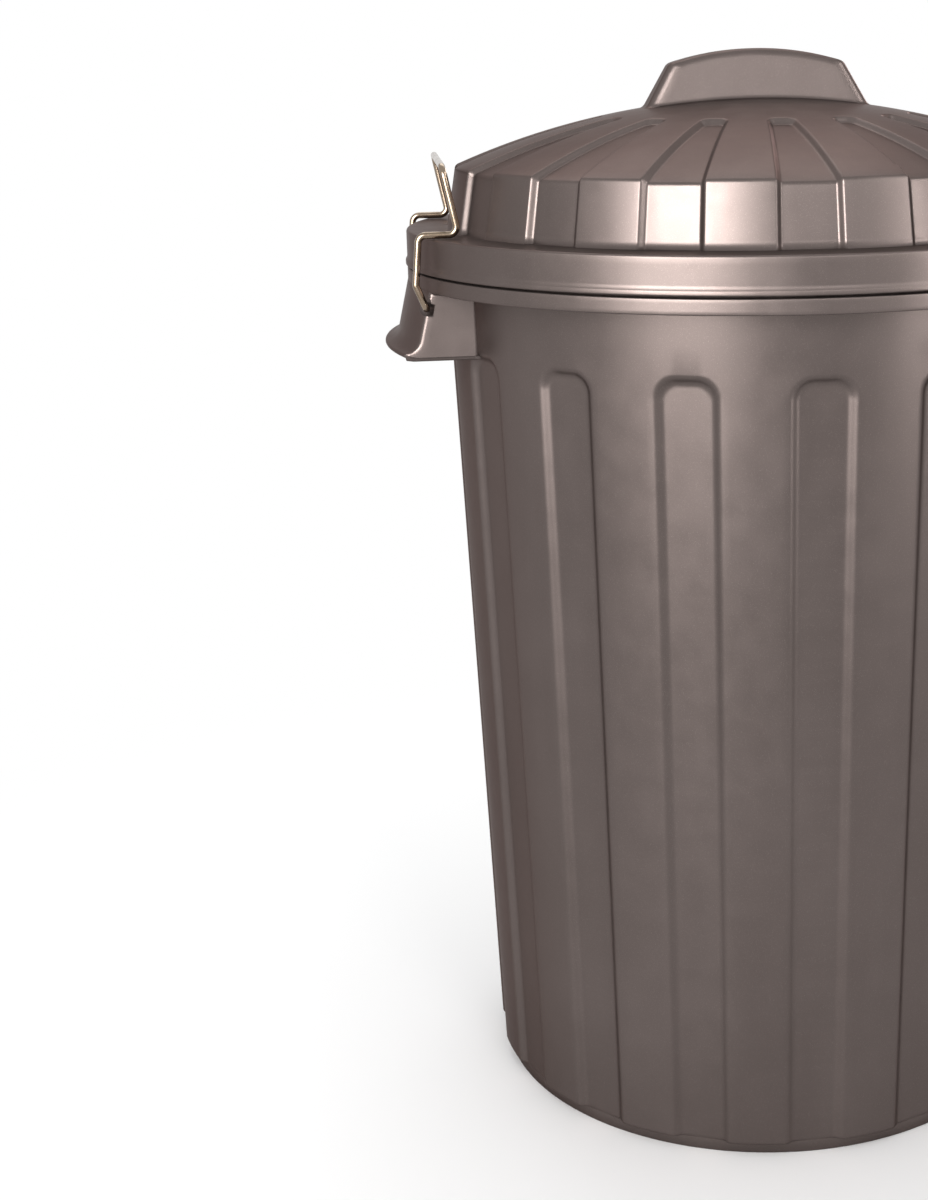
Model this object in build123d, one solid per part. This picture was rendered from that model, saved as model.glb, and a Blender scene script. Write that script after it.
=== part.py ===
from build123d import *
import os
from math import asin, cos, degrees, radians, sin, sqrt, tan

# A round plastic dustbin with a lift-off domed lid, held down by two sprung wire clips.
# Millimetres, +Z up. The origin is the middle of the foot ring, on the floor. The two
# carrying brackets and their clips point along -X (left) and +X (right).

# Overall sizes
RIM_HEIGHT = 657.0  # top of the bin's mouth flange above the floor
LID_RADIUS = 265.0  # outside of the lid's band, which the rim and the clips follow
FOOT_HEIGHT = 9.0  # height of the standing ring under the base
WALL = 3.0  # wall of the bin
LID_WALL = 2.5  # wall of the lid
WALL_TAPER = 2.3  # degrees that the wall leans outwards
FLOOR_FILLET = 3.0  # inside, between the wall and the floor

# Flutes pressed into the wall of the bin
FLUTE_COUNT = 16
FLUTE_DEPTH = 4.5
FLUTE_TOP_DROP = 86.0  # from the mouth flange down to where a flute's floor ends
FLUTE_HALF_TOP = 17.6  # half of the floor's width at the arch
FLUTE_HALF_FOOT = 15.8  # half of the floor's width at the foot
FLUTE_FLARE = 1.1  # sideways run of a flute's side for each millimetre of depth
FLUTE_ARCH_RADIUS = 11.0
FLUTE_LEDGE = 0.3  # step from a flute's floor in to the foot ring

# Lid: outer band, flange, leaning skirt and dome
LID_BAND_DROP = 26.0  # depth of the lid's outer band
LID_BEAD = 1.2  # how far the bead at the band's lower edge stands out
LID_BEAD_HEIGHT = 3.6
LID_BEAD_ROUND = 1.0
LID_EDGE_ROUND = 2.0
LID_FLANGE_WIDTH = 29.5  # from the band's outside in to the foot of the skirt
SKIRT_LEAN = 7.5  # how far the skirt leans in up to its shoulder
SHOULDER_RISE = 45.0  # shoulder above the lid's flange
SHOULDER_ROUND = 4.0
CROWN_RISE = 92.0  # crown of the dome above the lid's flange
LID_TURN = -2.3  # degrees that the round lid sits turned on the bin

# Mouth rim of the bin: flange, collar inside the lid's band, and a band below the lid
COLLAR_PLAY = 1.0  # gap between the collar and the inside of the lid's band
RIM_REACH = 23.9  # flange, from the wall's outside out to the collar's
RIM_ROUND = 2.0
RIM_FILLET = 3.0  # under the flange, against the wall
RIM_BAND_REACH = 3.5  # how far the band stands out of the collar
RIM_BAND_HEIGHT = 11.0
RIM_BAND_ROUND = 1.2
RIM_BAND_GAP = 1.5  # from the foot of the lid's band down to the rim's band

# Flutes pressed into the lid
LID_FLUTE_DEPTH = 3.8
LID_FLUTE_START = 119.0  # radius where a flute's floor begins near the crown
LID_FLUTE_HALF_START = 6.5
LID_FLUTE_HALF_END = 18.5
LID_FLUTE_FLARE = 0.9
LID_FLUTE_NOSE = 5.0  # rounding of the flute's inner end

# Grip moulded on the lid, hollow from below
GRIP_HALF_TOP = 66.0
GRIP_HALF_BASE = 80.5
GRIP_THICK_TOP = 28.0
GRIP_THICK_BASE = 39.0
GRIP_CORNER_RISE = 26.0  # corners of the grip above the crown
GRIP_ARCH_RISE = 10.5  # middle of the grip above its corners
GRIP_END_ROUND = 7.5  # rounding of the grip's upright edges
GRIP_TOP_ROUND = 7.0  # rounding round the grip's arched top

# Carrying brackets moulded on the bin under the rim's band
BRACKET_HALF_WIDTH = 85.0
BRACKET_HEIGHT = 46.0  # from the rim band's foot down to the bracket's lower edge
BRACKET_KNEE_DROP = 34.0  # from the rim band's foot down to where the lip begins to flare
BRACKET_KNEE_REACH = 8.0  # how far the wall has leant out of the rim's band at the knee
BRACKET_LIP_REACH = 19.0  # how far the lip stands out of the rim's band

# Holes in the brackets for the ends of the wire clips
PIVOT_DROP = 11.0  # from the rim band's foot down to the clip's pivot
PIVOT_INSET = 11.0  # from the rim band's outside in to the pivot
HOLE_DISH_RADIUS = 4.6  # dished mouth of the clip's hole
HOLE_DISH_DEPTH = 1.6

# Wire clips
WIRE_RADIUS = 2.5
WIRE_PLAY = 0.2  # gap round the wire in its hole
CLIP_GAP = 0.3  # gap between a closed clip and the lid's flange
CLIP_SIDE_GAP = 2.0  # gap between a leg and the side of the bracket
CLIP_END_LENGTH = 15.5  # length of the wire's end, from the leg inwards
CLIP_ELBOW_INSET = 4.0  # elbow, from the outside of the lid's band
CLIP_ELBOW_RISE = 17.0  # elbow above the pivot
CLIP_SHOULDER_INSET = 7.0
CLIP_HEEL_INSET = 35.0  # inner end of the run that holds the lid down
CLIP_TOP_INSET = 25.0
CLIP_TOP_RISE = 47.5  # finger bar above the run that holds the lid
CLIP_END_BEND = 4.5
CLIP_BEND = 5.5
CLIP_CORNER_BEND = 9.0

# Worked out from the sizes above
TAPER = tan(radians(WALL_TAPER))
FLUTE_PITCH = 360.0 / FLUTE_COUNT
FLUTE_TOP = RIM_HEIGHT - FLUTE_TOP_DROP
FLOOR_TOP = FOOT_HEIGHT + WALL
FLANGE_UNDER = RIM_HEIGHT - WALL
LID_TOP = RIM_HEIGHT + LID_WALL  # upper face of the lid's flange
COLLAR_RADIUS = LID_RADIUS - LID_WALL - COLLAR_PLAY
BASE_RADIUS = COLLAR_RADIUS - RIM_REACH - RIM_HEIGHT * TAPER  # wall carried to the floor
RIM_BAND_RADIUS = COLLAR_RADIUS + RIM_BAND_REACH
RIM_BAND_TOP = LID_TOP - LID_BAND_DROP - RIM_BAND_GAP
RIM_BAND_FOOT = RIM_BAND_TOP - RIM_BAND_HEIGHT
SKIRT_FOOT_RADIUS = LID_RADIUS - LID_FLANGE_WIDTH
SHOULDER_RADIUS = SKIRT_FOOT_RADIUS - SKIRT_LEAN
SHOULDER_Z = LID_TOP + SHOULDER_RISE
CROWN_Z = LID_TOP + CROWN_RISE
DOME_RISE = CROWN_RISE - SHOULDER_RISE
DOME_RADIUS = (SHOULDER_RADIUS**2 + DOME_RISE**2) / (2 * DOME_RISE)
DOME_CENTRE_Z = CROWN_Z - DOME_RADIUS
BRACKET_FOOT = RIM_BAND_FOOT - BRACKET_HEIGHT
PIVOT_RADIUS = RIM_BAND_RADIUS - PIVOT_INSET
PIVOT_Z = RIM_BAND_FOOT - PIVOT_DROP
CLIP_HALF_WIDTH = BRACKET_HALF_WIDTH + CLIP_SIDE_GAP + WIRE_RADIUS

# Reach of the cutters, which leaves no trace on the part
CUT_OVER = 2.0  # how far a cutter stands out of the face that it cuts
CUT_DIP = 1.0  # how far a lid flute's cutter starts below the flute's floor
CUT_FAR = 1200.0  # past every side of the bin


def wall_radius(z):
    """Outside radius of the bin's tapered wall at height z."""
    return BASE_RADIUS + z * TAPER


FOOT_RADIUS = wall_radius(FOOT_HEIGHT) - FLUTE_DEPTH - FLUTE_LEDGE


def ring(points, rounds=()):
    """A solid of revolution about Z from (radius, height) points. Each of rounds is a
    (radius, height, fillet) that rounds the corner nearest to it."""
    face = make_face(Plane.XZ * Polyline(*points, close=True))
    for radius, height, fillet_radius in rounds:
        corner = face.vertices().sort_by_distance(Vector(radius, 0, height))[0]
        face = fillet(corner, fillet_radius)
    return revolve(face, Axis.Z)


def slab(x_low, x_high, y_low, y_high, z_low, z_high):
    """A box between the given corners."""
    size = (x_high - x_low, y_high - y_low, z_high - z_low)
    centre = ((x_low + x_high) / 2, (y_low + y_high) / 2, (z_low + z_high) / 2)
    return Pos(*centre) * Box(*size)


def around(shape):
    """A copy of shape at every flute, the first one towards -X."""
    return [Rot(0, 0, 180 + FLUTE_PITCH * k) * shape for k in range(FLUTE_COUNT)]


# Bin


def flute_outline(level, skin):
    """Outline of a flute at a level above the wall's face, grown by skin all round."""
    flare = FLUTE_FLARE * (level + FLUTE_DEPTH) + skin * sqrt(1 + FLUTE_FLARE**2)
    lean = Plane(
        origin=(wall_radius(0), 0, 0),
        x_dir=(0, 1, 0),
        z_dir=(cos(radians(WALL_TAPER)), 0, -sin(radians(WALL_TAPER))),
    ).offset(level)
    top = FLUTE_TOP / cos(radians(WALL_TAPER)) + flare
    foot = -FOOT_HEIGHT
    half_top, half_foot = FLUTE_HALF_TOP + flare, FLUTE_HALF_FOOT + flare
    corners = [(-half_foot, foot), (half_foot, foot), (half_top, top), (-half_top, top)]
    face = make_face(Polyline(*corners, close=True))
    upper = face.vertices().sort_by(Axis.Y)[-2:]
    return lean * fillet(upper, FLUTE_ARCH_RADIUS + flare / 2)


def flute_tool(skin):
    """Tapered body of one flute towards +X. With skin 0 it cuts the wall's outside, and
    with skin WALL it is what the flute takes from the room inside."""
    outlines = [flute_outline(-FLUTE_DEPTH - skin, skin), flute_outline(CUT_OVER, skin)]
    body = loft(outlines, ruled=True)
    return body & slab(0, CUT_FAR, -CUT_FAR, CUT_FAR, FOOT_HEIGHT, RIM_HEIGHT)


def bin_outside():
    """The bin as a solid of revolution with its rim, before the inside is taken out."""
    collar_inside = COLLAR_RADIUS - WALL
    profile = [
        (0, FOOT_HEIGHT),
        (FOOT_RADIUS - WALL, FOOT_HEIGHT),
        (FOOT_RADIUS - WALL, 0),
        (FOOT_RADIUS, 0),
        (FOOT_RADIUS, FOOT_HEIGHT),
        (wall_radius(FOOT_HEIGHT), FOOT_HEIGHT),
        (wall_radius(FLANGE_UNDER), FLANGE_UNDER),
        (collar_inside, FLANGE_UNDER),
        (collar_inside, RIM_BAND_TOP - WALL),
        (RIM_BAND_RADIUS - WALL, RIM_BAND_TOP - WALL),
        (RIM_BAND_RADIUS - WALL, RIM_BAND_FOOT),
        (RIM_BAND_RADIUS, RIM_BAND_FOOT),
        (RIM_BAND_RADIUS, RIM_BAND_TOP),
        (COLLAR_RADIUS, RIM_BAND_TOP),
        (COLLAR_RADIUS, RIM_HEIGHT),
        (0, RIM_HEIGHT),
    ]
    rounds = [
        (COLLAR_RADIUS, RIM_HEIGHT, RIM_ROUND),
        (RIM_BAND_RADIUS, RIM_BAND_TOP, RIM_BAND_ROUND),
        (wall_radius(FLANGE_UNDER), FLANGE_UNDER, RIM_FILLET),
    ]
    return ring(profile, rounds)


def bin_inside():
    """The room inside the bin, with the flutes standing into it."""
    low, high = wall_radius(FLOOR_TOP) - WALL, wall_radius(RIM_HEIGHT) - WALL
    over = RIM_HEIGHT + CUT_OVER
    profile = [(0, FLOOR_TOP), (low, FLOOR_TOP), (high, RIM_HEIGHT)]
    profile += [(high + CUT_OVER, over), (0, over)]
    room = ring(profile, [(low, FLOOR_TOP, FLOOR_FILLET)])
    return room - around(flute_tool(WALL))


def bracket_points(inset):
    """Top, knee, middle of the flare and tip of the lip of a bracket's outer wall, as
    (radius, height) points moved in from its outside by inset."""
    top = Vector(RIM_BAND_RADIUS, RIM_BAND_FOOT + WALL / 2)
    knee = Vector(RIM_BAND_RADIUS + BRACKET_KNEE_REACH, RIM_BAND_FOOT - BRACKET_KNEE_DROP)
    lip = Vector(RIM_BAND_RADIUS + BRACKET_LIP_REACH, BRACKET_FOOT + WALL)
    flare = TangentArc(knee, lip, tangent=knee - top)
    centre = flare.arc_center
    points = [p + (p - centre).normalized() * inset for p in (knee, flare @ 0.5, lip)]
    return [top + points[0] - knee, *points]


def bracket_curve(inset):
    """A bracket's outer wall moved in by inset: its straight run and its flared lip."""
    top, knee, middle, lip = bracket_points(inset)
    return Line(top, knee) + ThreePointArc(knee, middle, lip)


def bracket_shell():
    """Curved outer wall of both brackets, as wide as the brackets."""
    outer, inner = bracket_points(0), bracket_points(WALL)
    ends = Line(outer[0], inner[0]) + Line(outer[-1], inner[-1])
    face = make_face(Plane.XZ * (bracket_curve(0) + bracket_curve(WALL) + ends))
    width = BRACKET_HALF_WIDTH
    return revolve(face, Axis.Z) & slab(-CUT_FAR, CUT_FAR, -width, width, 0, RIM_HEIGHT)


def bracket_plates():
    """The four side plates, from the wall out to the brackets' outer walls."""
    root = WALL / 2
    points = bracket_points(root)
    top, lip = points[0], points[-1]
    inner_edge = Polyline(
        (lip.X, lip.Y),
        (lip.X, BRACKET_FOOT),
        (wall_radius(BRACKET_FOOT) - root, BRACKET_FOOT),
        (wall_radius(FLANGE_UNDER) - root, FLANGE_UNDER + root),
        (COLLAR_RADIUS - root, FLANGE_UNDER + root),
        (COLLAR_RADIUS - root, RIM_BAND_TOP - root),
        (RIM_BAND_RADIUS - root, RIM_BAND_TOP - root),
        (top.X, top.Y),
    )
    body = revolve(make_face(Plane.XZ * (bracket_curve(root) + inner_edge)), Axis.Z)
    low, high = BRACKET_HALF_WIDTH - WALL, BRACKET_HALF_WIDTH
    near = slab(-CUT_FAR, CUT_FAR, -high, -low, 0, RIM_HEIGHT)
    far = slab(-CUT_FAR, CUT_FAR, low, high, 0, RIM_HEIGHT)
    return [body & near, body & far]


def pivot_holes():
    """Holes for the ends of the clips, with a dished mouth on the outside."""
    across = Rot(-90, 0, 0)
    bore = across * Cylinder(WIRE_RADIUS + WIRE_PLAY, 2 * (BRACKET_HALF_WIDTH + CUT_OVER))
    dish = across * Cone(
        WIRE_RADIUS + WIRE_PLAY,
        HOLE_DISH_RADIUS,
        HOLE_DISH_DEPTH,
        align=(Align.CENTER, Align.CENTER, Align.MAX),
    )
    far_dish = Pos(0, BRACKET_HALF_WIDTH, 0) * dish
    one_side = [bore, far_dish, Rot(0, 0, 180) * far_dish]
    places = [Pos(PIVOT_RADIUS, 0, PIVOT_Z), Pos(-PIVOT_RADIUS, 0, PIVOT_Z)]
    return [place * tool for place in places for tool in one_side]


def make_bin_body():
    """The bin in one moulding: fluted wall, base, rim and two carrying brackets."""
    body = bin_outside() - around(flute_tool(0))
    body = body - bin_inside()
    body = body + [bracket_shell(), *bracket_plates()]
    return body - pivot_holes()


# Lid


def skirt_radius(z):
    """Outside radius of the lid's leaning skirt at height z."""
    lean = (SKIRT_FOOT_RADIUS - SHOULDER_RADIUS) / SHOULDER_RISE
    return SKIRT_FOOT_RADIUS - (z - LID_TOP) * lean


def dome_height(radius, skin):
    """Height of the lid's round dome at a radius, with its face moved in by skin."""
    return DOME_CENTRE_Z + sqrt((DOME_RADIUS - skin) ** 2 - radius**2)


def lid_dome(skin, foot_z):
    """Solid dome and skirt with its faces moved in by skin, down to foot_z."""
    edge_radius = SHOULDER_RADIUS - skin
    edge = (edge_radius, dome_height(edge_radius, skin))
    spread = degrees(asin(edge_radius / (DOME_RADIUS - skin)))
    arc = CenterArc((0, DOME_CENTRE_Z), DOME_RADIUS - skin, 90 - spread, spread)
    foot = (skirt_radius(foot_z) - skin, foot_z)
    face = make_face(Plane.XZ * (arc + Polyline(arc @ 1, (0, foot_z), foot, arc @ 0)))
    corner = face.vertices().sort_by_distance(Vector(edge[0], 0, edge[1]))[0]
    return revolve(fillet(corner, SHOULDER_ROUND), Axis.Z)


def flute_section(origin, up, half_width, flare):
    """Corners of a trapezium across a lid flute, from just below a (radius, height)
    origin on its floor to above the lid. It widens by flare along the up direction."""
    low, high = -CUT_DIP, LID_FLUTE_DEPTH + LID_WALL + CUT_OVER
    corners = []
    for side, level in ((-1, low), (1, low), (1, high), (-1, high)):
        radius, height = origin[0] + up[0] * level, origin[1] + up[1] * level
        corners.append((radius, side * (half_width + flare * level), height))
    return corners


def flat_sided(sections):
    """Solid through a row of four-cornered sections, closed by flat faces."""
    outlines = [sections[0], sections[-1]]
    for one, other in zip(sections, sections[1:]):
        for k in range(4):
            n = (k + 1) % 4
            outlines.append([one[k], one[n], other[n], other[k]])
    return Solid(Shell([make_face(Polyline(*outline, close=True)) for outline in outlines]))


def lid_flute_tool(skin):
    """One flute of the lid towards +X: over the dome, round the shoulder, down the skirt.
    Its floor follows the dome and its flat sides lean outwards."""
    depth = LID_FLUTE_DEPTH + skin
    low_z = LID_TOP - SHOULDER_RISE
    start = (LID_FLUTE_START - skin, dome_height(LID_FLUTE_START, depth))
    shoulder = (SHOULDER_RADIUS - depth, dome_height(SHOULDER_RADIUS - depth, depth))
    foot = (skirt_radius(low_z) - depth, low_z)
    grown = skin * sqrt(1 + LID_FLUTE_FLARE**2)
    half_start, half_end = LID_FLUTE_HALF_START + grown, LID_FLUTE_HALF_END + grown
    run = shoulder[0] - start[0]
    widening = (half_end - half_start) / run
    fall = (start[1] - shoulder[1]) / run
    lean = (foot[0] - shoulder[0]) / (shoulder[1] - foot[1])
    corner_flare = widening + LID_FLUTE_FLARE * (1 + fall)
    sections = [
        flute_section(start, (0, 1), half_start, LID_FLUTE_FLARE),
        flute_section(shoulder, (1, 1), half_end, corner_flare),
        flute_section(foot, (1, 0), half_end, corner_flare / (1 + lean)),
    ]
    body = flat_sided(sections)
    nose = body.faces().sort_by(Axis.X)[0].edges().filter_by(Axis.Y, reverse=True)
    body = fillet(nose, LID_FLUTE_NOSE)
    floor = lid_dome(depth, low_z)
    return (body - floor) & slab(0, CUT_FAR, -CUT_FAR, CUT_FAR, LID_TOP - skin, CUT_FAR)


def grip_block(skin):
    """The lid's grip with its faces moved in by skin, from below the dome's wall upwards."""
    base_z, corner_z = SHOULDER_Z, CROWN_Z + GRIP_CORNER_RISE - skin
    end_lean = (GRIP_HALF_BASE - GRIP_HALF_TOP) / GRIP_CORNER_RISE
    half_base = GRIP_HALF_BASE + (CROWN_Z - base_z) * end_lean - skin
    half_top = GRIP_HALF_TOP - skin
    side = Polyline(
        (half_top, corner_z), (half_base, base_z), (-half_base, base_z), (-half_top, corner_z)
    )
    peak = (0, corner_z + GRIP_ARCH_RISE)
    arch = ThreePointArc((-half_top, corner_z), peak, (half_top, corner_z))
    front = extrude(Plane.XZ * make_face(side + arch), CUT_FAR, both=True)
    rise = GRIP_CORNER_RISE + GRIP_ARCH_RISE
    lean = (GRIP_THICK_BASE - GRIP_THICK_TOP) / 2 / rise
    thick_base = GRIP_THICK_BASE / 2 + (CROWN_Z - base_z) * lean - skin
    thick_top = GRIP_THICK_TOP / 2 - CUT_OVER * lean - skin
    top_z = CROWN_Z + rise + CUT_OVER
    cross = [(-thick_base, base_z), (thick_base, base_z), (thick_top, top_z)]
    cross.append((-thick_top, top_z))
    across = make_face(Plane.YZ * Polyline(*cross, close=True))
    block = front & extrude(across, CUT_FAR, both=True)
    ends = block.edges().filter_by(lambda e: abs((e @ 0).Z - (e @ 1).Z) > GRIP_CORNER_RISE)
    block = fillet(ends, GRIP_END_ROUND - skin)
    top = block.faces().sort_by(Axis.Z)[-1]
    return fillet(top.edges(), GRIP_TOP_ROUND - skin)


def lid_flange():
    """Flat flange and hanging band round the lid, with a bead at the lower edge."""
    foot = LID_TOP - LID_BAND_DROP
    inside = LID_RADIUS - LID_WALL
    bead = LID_RADIUS + LID_BEAD
    profile = [
        (SHOULDER_RADIUS, RIM_HEIGHT),
        (inside, RIM_HEIGHT),
        (inside, foot),
        (bead, foot),
        (bead, foot + LID_BEAD_HEIGHT),
        (LID_RADIUS, foot + LID_BEAD_HEIGHT + LID_BEAD),
        (LID_RADIUS, LID_TOP),
        (SHOULDER_RADIUS, LID_TOP),
    ]
    rounds = [(LID_RADIUS, LID_TOP, LID_EDGE_ROUND), (bead, foot, LID_BEAD_ROUND)]
    return ring(profile, rounds)


def make_lid():
    """The lid in one moulding: fluted dome and skirt, flange, band and hollow grip."""
    outside = lid_dome(0, LID_TOP)
    outside = outside - around(lid_flute_tool(0))
    outside = outside + [lid_flange(), grip_block(0)]
    inside = lid_dome(LID_WALL, RIM_HEIGHT - CUT_OVER)
    inside = inside - around(lid_flute_tool(LID_WALL))
    lid = outside - inside - grip_block(LID_WALL)
    return Rot(0, 0, LID_TURN) * lid


# Clips


def make_clip():
    """One wire clip, closed over the lid on the +X side: both ends stand in the holes of
    the bracket, the legs pass the rim and the loop above is the finger bar."""
    run_z = LID_TOP + CLIP_GAP + WIRE_RADIUS
    top_z = run_z + CLIP_TOP_RISE
    half = CLIP_HALF_WIDTH
    leg = [
        (PIVOT_RADIUS, half - CLIP_END_LENGTH, PIVOT_Z),
        (PIVOT_RADIUS, half, PIVOT_Z),
        (LID_RADIUS - CLIP_ELBOW_INSET, half, PIVOT_Z + CLIP_ELBOW_RISE),
        (LID_RADIUS - CLIP_SHOULDER_INSET, half, run_z),
        (LID_RADIUS - CLIP_HEEL_INSET, half, run_z),
        (LID_RADIUS - CLIP_TOP_INSET, half, top_z),
    ]
    route = leg + [(x, -y, z) for x, y, z in reversed(leg)]
    bends = [CLIP_END_BEND, CLIP_BEND, CLIP_BEND, CLIP_BEND, CLIP_CORNER_BEND]
    path = FilletPolyline(*route, radius=bends + bends[::-1])
    section = Plane(origin=path @ 0, z_dir=path % 0) * Circle(WIRE_RADIUS)
    return sweep(section, path=path)


os.makedirs("parts", exist_ok=True)
right_clip = make_clip()
pieces = {
    "bin_body": make_bin_body(),
    "lid": make_lid(),
    "right_wire_clip": right_clip,
    "left_wire_clip": Rot(0, 0, 180) * right_clip,
}
for name, piece in pieces.items():
    export_step(piece, f"parts/{name}.step")
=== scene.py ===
import math

import bmesh
import bpy
import numpy as np
from mathutils import Matrix, Vector


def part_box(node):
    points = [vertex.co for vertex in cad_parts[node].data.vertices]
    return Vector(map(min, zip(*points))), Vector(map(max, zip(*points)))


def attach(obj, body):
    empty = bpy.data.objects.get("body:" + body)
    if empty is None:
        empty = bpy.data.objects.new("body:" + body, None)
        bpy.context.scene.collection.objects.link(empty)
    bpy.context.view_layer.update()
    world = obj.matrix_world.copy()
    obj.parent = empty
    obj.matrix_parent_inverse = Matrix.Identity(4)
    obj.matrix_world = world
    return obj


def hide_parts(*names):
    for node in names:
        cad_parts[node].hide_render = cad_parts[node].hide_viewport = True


# A metallic-effect plastic dustbin with a domed lid and two sprung wire clips.
# Metres, +Z up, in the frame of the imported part. The photograph is taken from -Y.

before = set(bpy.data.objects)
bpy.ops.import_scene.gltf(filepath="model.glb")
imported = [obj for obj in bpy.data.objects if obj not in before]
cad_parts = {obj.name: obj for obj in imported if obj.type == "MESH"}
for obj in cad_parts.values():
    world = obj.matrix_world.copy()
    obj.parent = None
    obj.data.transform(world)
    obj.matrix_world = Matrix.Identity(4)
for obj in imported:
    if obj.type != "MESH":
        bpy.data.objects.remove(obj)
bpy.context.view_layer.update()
MM = 0.001

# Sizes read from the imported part
BIN_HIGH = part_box("bin_body")[1]
LID_LOW, LID_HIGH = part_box("lid")
CLIP_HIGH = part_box("right_wire_clip")[1]
RIM_HEIGHT = BIN_HIGH.z
BRACKET_LIP_RADIUS = BIN_HIGH.x
GRIP_PEAK = LID_HIGH.z
LID_BAND_FOOT = LID_LOW.z

# Bin
FLUTES = 16
FOOT_HEIGHT = 9.0 * MM
WALL = 3.0 * MM
BASE_RADIUS = 211.2 * MM
TAPER = math.tan(math.radians(2.3))
FLUTE_DEPTH = 4.5 * MM
FLUTE_TOP = 571.0 * MM
FLUTE_HALF_TOP = 17.6 * MM
FLUTE_HALF_FOOT = 15.8 * MM
FLUTE_SIDE = 4.95 * MM  # width of a flute's sloping side
BIN_SOFT = 0.42  # rounding at the edges of a flute's side, as a share of its width
ARCH_RADIUS = 11.0 * MM
FOOT_RADIUS = 206.7 * MM
COLLAR_RADIUS = 261.5 * MM
RIM_BAND_RADIUS = 265.0 * MM
RIM_BAND_TOP = RIM_HEIGHT - 25.0 * MM
RIM_BAND_FOOT = RIM_BAND_TOP - 11.0 * MM

# Lid
LID_WALL = 2.5 * MM
LID_TURN = math.radians(-2.3)
LID_RADIUS = 265.0 * MM
LID_BEAD = 1.2 * MM
LID_BEAD_HEIGHT = 3.6 * MM
LID_TOP = RIM_HEIGHT + LID_WALL
SKIRT_FOOT_RADIUS = 235.5 * MM
SHOULDER_RADIUS = 228.0 * MM
SHOULDER_RISE = 45.0 * MM
SHOULDER_Z = LID_TOP + SHOULDER_RISE
CROWN_Z = LID_TOP + 92.0 * MM
DOME_RISE = CROWN_Z - SHOULDER_Z
DOME_RADIUS = (SHOULDER_RADIUS**2 + DOME_RISE**2) / (2 * DOME_RISE)
DOME_CENTRE_Z = CROWN_Z - DOME_RADIUS
LID_FLUTE_DEPTH = 3.8 * MM
LID_FLUTE_START = 119.0 * MM
LID_FLUTE_HALF_START = 6.5 * MM
LID_FLUTE_HALF_END = 18.5 * MM
LID_FLUTE_SIDE = 3.4 * MM
LID_FLUTE_NOSE = 3.8 * MM
LID_SOFT = 0.24
DOME_PLAIN = LID_FLUTE_START - 7.0 * MM  # the dome is plain and round within this radius
SHOULDER_ROUND = 4.0 * MM
SHOULDER_ROUND_INSIDE = 3.0 * MM

# Grip on the lid
GRIP_HALF_TOP = 66.0 * MM
GRIP_HALF_BASE = 80.5 * MM
GRIP_END_HEIGHT = 26.0 * MM
GRIP_END_LEAN = (GRIP_HALF_BASE - GRIP_HALF_TOP) / GRIP_END_HEIGHT
GRIP_THICK_TOP = 28.0 * MM
GRIP_THICK_BASE = 39.0 * MM
GRIP_HEIGHT = 36.5 * MM
GRIP_SIDE_LEAN = (GRIP_THICK_BASE - GRIP_THICK_TOP) / 2 / GRIP_HEIGHT
GRIP_ARCH = 10.5 * MM
GRIP_END_ROUND = 7.5 * MM
GRIP_TOP_ROUND = 7.0 * MM
GRIP_FOOT_ROUND = 3.0 * MM

# Carrying brackets
BRACKET_HALF = 85.0 * MM
BRACKET_FOOT = RIM_HEIGHT - 82.0 * MM
KNEE_RADIUS = 273.0 * MM
KNEE_Z = RIM_HEIGHT - 70.0 * MM
BRACKET_ROUND = 3.5 * MM
BRACKET_EDGE = 1.5 * MM  # how far the rounded lower edge runs on past its curve
HOLE_RADIUS = 2.7 * MM
HOLE_DISH = 4.6 * MM

# Wire clips
WIRE_RADIUS = 2.5 * MM
PIVOT_RADIUS = 254.0 * MM
PIVOT_Z = RIM_HEIGHT - 47.0 * MM
CLIP_HALF = CLIP_HIGH.y - WIRE_RADIUS
CLIP_END_LENGTH = 15.5 * MM
CLIP_ELBOW_RADIUS = 261.0 * MM
CLIP_ELBOW_RISE = 17.0 * MM
CLIP_SHOULDER_RADIUS = 258.0 * MM
CLIP_HEEL_RADIUS = 230.0 * MM
CLIP_TOP_RADIUS = 240.0 * MM
CLIP_TOP_RISE = 47.5 * MM
CLIP_RUN_Z = LID_TOP + 0.3 * MM + WIRE_RADIUS
CLIP_BENDS = [4.5 * MM, 5.5 * MM, 5.5 * MM, 5.5 * MM, 9.0 * MM]


# Mesh helpers


def new_object(name, verts, faces):
    """A mesh object from points and faces, shaded smooth."""
    mesh = bpy.data.meshes.new(name)
    mesh.from_pydata([tuple(v) for v in verts], [], faces)
    mesh.update()
    mesh.polygons.foreach_set("use_smooth", [True] * len(mesh.polygons))
    obj = bpy.data.objects.new(name, mesh)
    bpy.context.scene.collection.objects.link(obj)
    return obj


def lofted(name, loops):
    """A closed skin through a stack of closed loops. The first and last loop are points."""
    rows, cols = len(loops), len(loops[0])
    verts = np.concatenate([loops[0][:1], *loops[1:-1], loops[-1][:1]])
    last = len(verts) - 1
    faces = []
    for c in range(cols):
        n = (c + 1) % cols
        faces.append((0, 1 + c, 1 + n))
        for r in range(rows - 3):
            low, high = 1 + r * cols, 1 + (r + 1) * cols
            faces.append((low + c, high + c, high + n, low + n))
        top = 1 + (rows - 3) * cols
        faces.append((top + c, last, top + n))
    return new_object(name, verts, faces)


def ramp(t, soft):
    """From 0 at t = 0 to 1 at t = 1 in a straight line, with both corners rounded."""
    t = np.asarray(t, float)
    low = (t + soft) ** 2 / (4 * soft)
    high = 1 - (1 + soft - t) ** 2 / (4 * soft)
    out = np.where(t < soft, low, np.where(t > 1 - soft, high, t))
    return np.where(t <= -soft, 0.0, np.where(t >= 1 + soft, 1.0, out))


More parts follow.
